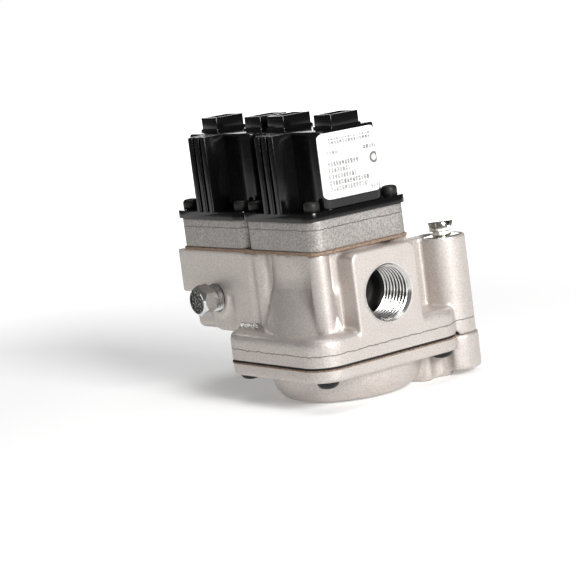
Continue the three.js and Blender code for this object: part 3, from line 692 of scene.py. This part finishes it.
# ---- spade terminals --------------------------------------------------------------------
# Stamped from 0.8 mm brass strip, a quarter inch wide, with clipped corners and a small hole
# near the tip. They stand up through slots in the floor of the shrouds.
brass = new_material("brass_strip")
place = add(brass, "TexCoord", {}).outputs["Object"]
rolled = add(brass, "TexNoise", {"Vector": place, "Scale": 1 / (1.5 * MM), "Detail": 4})
tone = add(brass, "Mix", {0: rolled.outputs["Fac"], 6: linear("9C7434"), 7: linear("D9B267")},
           data_type="RGBA")
rough = add(brass, "MapRange", {"Value": rolled.outputs["Fac"], "To Min": 0.22, "To Max": 0.45})
shader = add(brass, "BsdfPrincipled", {"Base Color": tone.outputs[2], "Metallic": 1,
                                       "Roughness": rough.outputs[0]})
add(brass, "OutputMaterial", {"Surface": shader.outputs[0]})
surface([f"{side}_terminal_{number}" for side in ("left", "right") for number in (1, 2)], brass)


# ---- pieces inside ----------------------------------------------------------------------
# Steel for the magnet circuit, plungers, stem and springs; brass for the regulator's poppet and
# screw; cast aluminium for the diaphragm plates; nylon bobbins and enamelled copper windings.
# They keep their plain turned and folded shapes.
steel = new_material("plain_steel")
place = add(steel, "TexCoord", {}).outputs["Object"]
grain = add(steel, "TexNoise", {"Vector": place, "Scale": 1 / (0.7 * MM), "Detail": 4})
rough = add(steel, "MapRange", {"Value": grain.outputs["Fac"], "To Min": 0.25, "To Max": 0.5})
tone = add(steel, "Mix", {0: grain.outputs["Fac"], 6: linear("8A8C8E"), 7: linear("B4B6B8")},
           data_type="RGBA")
shader = add(steel, "BsdfPrincipled", {"Base Color": tone.outputs[2], "Metallic": 1,
                                       "Roughness": rough.outputs[0]})
add(steel, "OutputMaterial", {"Surface": shader.outputs[0]})

copper = new_material("enamelled_copper_wire")
place = add(copper, "TexCoord", {}).outputs["Object"]
wires = add(copper, "TexWave", {"Vector": place, "Scale": 0.5 / (0.4 * MM)}, bands_direction="Z")
relief = add(copper, "Bump", {"Height": wires.outputs["Fac"], "Strength": 0.8,
                              "Distance": 0.1 * MM})
shader = add(copper, "BsdfPrincipled", {"Base Color": linear("B2602F"), "Metallic": 0.8,
                                        "Roughness": 0.3, "Coat Weight": 0.5,
                                        "Normal": relief.outputs[0]})
add(copper, "OutputMaterial", {"Surface": shader.outputs[0]})

natural_nylon = new_material("natural_nylon")
place = add(natural_nylon, "TexCoord", {}).outputs["Object"]
cloud = add(natural_nylon, "TexNoise", {"Vector": place, "Scale": 1 / (4 * MM), "Detail": 3})
tone = add(natural_nylon, "Mix", {0: cloud.outputs["Fac"], 6: linear("DCD6C6"),
                                  7: linear("EEEADF")}, data_type="RGBA")
shader = add(natural_nylon, "BsdfPrincipled", {"Base Color": tone.outputs[2],
                                               "Roughness": 0.5})
add(natural_nylon, "OutputMaterial", {"Surface": shader.outputs[0]})

surface(["main_valve_disc_holder", "main_valve_stem", "main_valve_spring", "servo_spring"], steel)
surface(["diaphragm_plate_upper", "diaphragm_plate_lower"], cast_aluminium)
surface(["servo_poppet", "spring_button", "adjusting_screw"], brass)
for side in ("left", "right"):
    surface([f"{side}_{part}" for part in ("magnet_frame", "core_tube", "plunger",
                                           "plunger_spring")], steel)
    surface([f"{side}_winding"], copper)
    surface([f"{side}_bobbin"], natural_nylon)


# ---- regulator cap screw ------------------------------------------------------------------
# Turned from brass and plated with bright nickel: a slotted head on a neck over a collar that
# presses on the seal in the tower's recess.
nickel = new_material("bright_nickel_plating")
place = add(nickel, "TexCoord", {}).outputs["Object"]
haze = add(nickel, "TexNoise", {"Vector": place, "Scale": 1 / (1.2 * MM), "Detail": 5})
rough = add(nickel, "MapRange", {"Value": haze.outputs["Fac"], "To Min": 0.06, "To Max": 0.2})
shader = add(nickel, "BsdfPrincipled", {"Base Color": linear("E4E2DC"), "Metallic": 1,
                                        "Roughness": rough.outputs[0]})
add(nickel, "OutputMaterial", {"Surface": shader.outputs[0]})
low, high = box_of("cap_screw")
x, y, top = (low.x + high.x) / 2, (low.y + high.y) / 2, high.z
collar, thread, head, neck = (high.x - low.x) / 2, 5.9, 4.9, 3.5
shoulder = low.z + 4.0
cap = turned("cap_screw_turned", [(0, low.z), (thread - 0.5, low.z), (thread, low.z + 0.5),
                                  (thread, shoulder), (collar - 0.15, shoulder),
                                  (collar, shoulder + 0.15), (collar, shoulder + 0.4),
                                  (collar - 0.2, shoulder + 0.55), (neck + 0.4, shoulder + 0.75),
                                  (neck, shoulder + 1.1), (neck, top - 4), (neck + 0.15, top - 3.8),
                                  (head - 0.2, top - 3.65), (head, top - 3.45),
                                  (head, top - 0.55), (head - 0.16, top - 0.2),
                                  (head - 0.55, top), (0, top)], (x, y, 0), steps=64)
slot_tool = slab("slot_tool", (x - 7, y - 0.65, top - 1.7), (x + 7, y + 0.65, top + 1))
combine(cap, slot_tool, "DIFFERENCE")
finish(cap, nickel, 35)
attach(cap, "cap_screw")
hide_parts("cap_screw")


# ---- pressure tap plug --------------------------------------------------------------------
# A steel plug with a chamfered hexagon head, bright zinc plated. A few turns of its thread stay in
# sight between the head and the boss, and the dish in its end is painted in blotches of dark grey
# and near black.
zinc = new_material("bright_zinc_plating")
place = add(zinc, "TexCoord", {}).outputs["Object"]
haze = add(zinc, "TexNoise", {"Vector": place, "Scale": 1 / (0.8 * MM), "Detail": 5})
tone = add(zinc, "Mix", {0: haze.outputs["Fac"], 6: linear("B9B9B7"), 7: linear("EDEDEC")},
           data_type="RGBA")
rough = add(zinc, "MapRange", {"Value": haze.outputs["Fac"], "To Min": 0.08, "To Max": 0.26})
shader = add(zinc, "BsdfPrincipled", {"Base Color": tone.outputs[2], "Metallic": 1,
                                      "Roughness": rough.outputs[0]})
add(zinc, "OutputMaterial", {"Surface": shader.outputs[0]})
low, high = box_of("pressure_tap_plug")
x, z, outer = (low.x + high.x) / 2, (low.z + high.z) / 2, low.y
flats, head_height, thread, thread_pitch = 11.1, 5.5, 4.75, 25.4 / 27
length = high.y - low.y
forward = (90, 0, 0)
plug = cylinder("pressure_tap_plug_turned", flats / math.sqrt(3), head_height,
                (x, outer + head_height / 2, z), forward, 6)
under_head = (x, outer + head_height, z)
rounding = turned("rounding", [(0, -1), (7, -1), (7, 0.4), (6.35, 0.9), (6.35, 3.9),
                               (4.9, head_height), (0, head_height)], under_head, forward, 64)
combine(plug, rounding, "INTERSECT")
dish = turned("dish", [(0, head_height - 0.3), (4.2, head_height - 0.3), (4.5, head_height + 1),
                       (0, head_height + 1)], under_head, forward, 48)
combine(plug, dish, "DIFFERENCE")
barrel = turned("barrel", [(0, 0.4), (thread, 0.4), (thread, -length + head_height + 0.6),
                           (thread - 0.6, -length + head_height), (0, -length + head_height)],
                under_head, forward, 48)
combine(plug, barrel)
coil = thread_coil("coil", thread - 0.2, thread + 0.6, thread_pitch, 9, -9.6, under_head, forward)
combine(plug, coil)
finish(plug, zinc, 30)
# The dish in the plug's end is painted in blotches of dark grey and near black.
dark_end_blots = new_material("dark_blotched_end_face")
place = add(dark_end_blots, "TexCoord", {}).outputs["Object"]
blots = add(dark_end_blots, "TexNoise", {"Vector": place, "Scale": 1 / (0.9 * MM), "Detail": 3})
tone = add(dark_end_blots, "ValToRGB", {"Fac": blots.outputs["Fac"]})
tone.color_ramp.elements[0].position = 0.5
tone.color_ramp.elements[0].color = linear("1B1B1B")
tone.color_ramp.elements[1].position = 0.6
tone.color_ramp.elements[1].color = linear("8A8A88")
shader = add(dark_end_blots, "BsdfPrincipled", {"Base Color": tone.outputs[0], "Metallic": 0.6,
                                          "Roughness": 0.45})
add(dark_end_blots, "OutputMaterial", {"Surface": shader.outputs[0]})
plug.data.materials.append(dark_end_blots)
for face in plug.data.polygons:
    at = face.center / MM
    if abs(at.y - outer) < 0.5 and math.hypot(at.x - x, at.z - z) < 4.3:
        face.material_index = 1
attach(plug, "valve")
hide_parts("pressure_tap_plug")


# ---- rating label --------------------------------------------------------------------------
# White self-adhesive film with rounded corners, stuck round the outer side of the right coil.
# In place of wording it has rows of broken black blocks and a plain ring. Each row is given by
# its start and end from the film's front edge, its height, its letters' height and its strength.
film = new_material("white_label_film")
low, high = box_of("rating_label")
bare_shell = 1.4
high.y -= bare_shell
place = add(film, "TexCoord", {})
across = add(film, "SeparateXYZ", {0: place.outputs["Object"]})
flat = add(film, "CombineXYZ", {0: across.outputs[1], 1: across.outputs[2]})
blocks = add(film, "TexBrick", {"Vector": flat.outputs[0], "Color1": linear("D0D0D0"),
                                "Color2": linear("FFFFFF"), "Mortar": linear("000000"),
                                "Scale": 1, "Mortar Size": 0.16 * MM, "Mortar Smooth": 0,
                                "Bias": 0, "Brick Width": 1.35 * MM, "Row Height": 50 * MM},
             offset=0)
dots = add(film, "TexNoise", {"Vector": flat.outputs[0], "Scale": 1 / (0.6 * MM), "Detail": 1})
broken = add(film, "MapRange", {"Value": dots.outputs["Fac"], "From Min": 0.38,
                                "From Max": 0.5, "To Min": 0.35, "To Max": 1})
ink = add(film, "Math", {0: 0, 1: 0}, operation="ADD")
for start, end, line, letters, strength in (
        (4.0, 24.5, 21.4, 2.3, 0.85), (10.0, 26.0, 18.9, 1.5, 0.45), (1.8, 8.4, 17.2, 1.4, 0.8),
        (19.5, 26.3, 17.1, 1.4, 0.9), (2.4, 17.0, 12.9, 1.8, 0.9), (2.4, 12.6, 10.6, 1.8, 0.8),
        (2.4, 15.2, 8.2, 1.8, 0.85), (2.4, 21.5, 5.9, 1.8, 0.9), (2.4, 20.4, 3.6, 1.8, 0.8),
        (21.6, 26.2, 1.9, 1.5, 0.7)):
    wide = add(film, "Math", {0: across.outputs[1], 1: (low.y + (start + end) / 2) * MM,
                              2: (end - start) / 2 * MM}, operation="COMPARE")
    tall = add(film, "Math", {0: across.outputs[2], 1: (low.z + line) * MM,
                              2: letters / 2 * MM}, operation="COMPARE")
    bar = add(film, "Math", {0: wide.outputs[0], 1: tall.outputs[0]}, operation="MULTIPLY")
    ink = add(film, "Math", {0: bar.outputs[0], 1: strength, 2: ink.outputs[0]},
              operation="MULTIPLY_ADD")
lettered = add(film, "Math", {0: ink.outputs[0], 1: blocks.outputs["Color"]},
               operation="MULTIPLY")
worn = add(film, "Math", {0: lettered.outputs[0], 1: broken.outputs[0]}, operation="MULTIPLY")
mark = add(film, "VectorMath", {0: flat.outputs[0], 1: ((low.y + 24.6) * MM,
                                                        (low.z + 12.6) * MM, 0)},
           operation="DISTANCE")
band = add(film, "Math", {0: mark.outputs["Value"], 1: 1.7 * MM, 2: 0.5 * MM},
           operation="COMPARE")
ringed = add(film, "Math", {0: band.outputs[0], 1: 0.8, 2: worn.outputs[0]},
             operation="MULTIPLY_ADD", use_clamp=True)
printed = add(film, "Mix", {0: ringed.outputs[0], 6: linear("DCDCDB"), 7: linear("141414")},
              data_type="RGBA")
shader = add(film, "BsdfPrincipled", {"Base Color": printed.outputs[2], "Roughness": 0.35,
                                      "Specular IOR Level": 0.4})
add(film, "OutputMaterial", {"Surface": shader.outputs[0]})
bpy.ops.object.select_all(action="DESELECT")
bpy.ops.mesh.primitive_plane_add(size=1, location=(0.06, (low.y + high.y) / 2 * MM,
                                                   (low.z + high.z) / 2 * MM),
                                 rotation=(0, math.pi / 2, 0))
label = bpy.context.object
label.name = "rating_label_film"
label.scale = ((high.z - low.z) * MM, (high.y - low.y) * MM, 1)
bpy.ops.object.transform_apply(location=True, rotation=True, scale=True)
bpy.ops.object.mode_set(mode="EDIT")
bpy.ops.mesh.select_all(action="SELECT")
bpy.ops.mesh.bevel(offset=2 * MM, segments=6, affect="VERTICES")
strips = 56
for step in range(1, strips):
    bpy.ops.mesh.select_all(action="SELECT")
    bpy.ops.mesh.bisect(plane_co=(0, (low.y + (high.y - low.y) * step / strips) * MM, 0),
                        plane_no=(0, 1, 0))
bpy.ops.object.mode_set(mode="OBJECT")
wrap = label.modifiers.new("wrap", "SHRINKWRAP")
wrap.target = bpy.data.objects["right_coil_housing_moulding"]
wrap.wrap_method = "PROJECT"
wrap.use_project_x = True
wrap.use_negative_direction = True
wrap.use_positive_direction = False
wrap.offset = 0.08 * MM
only(label)
bpy.ops.object.modifier_apply(modifier="wrap")
modify(label, "SOLIDIFY", thickness=0.15 * MM, offset=1)
finish(label, film, 50)
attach(label, "valve")
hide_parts("rating_label")
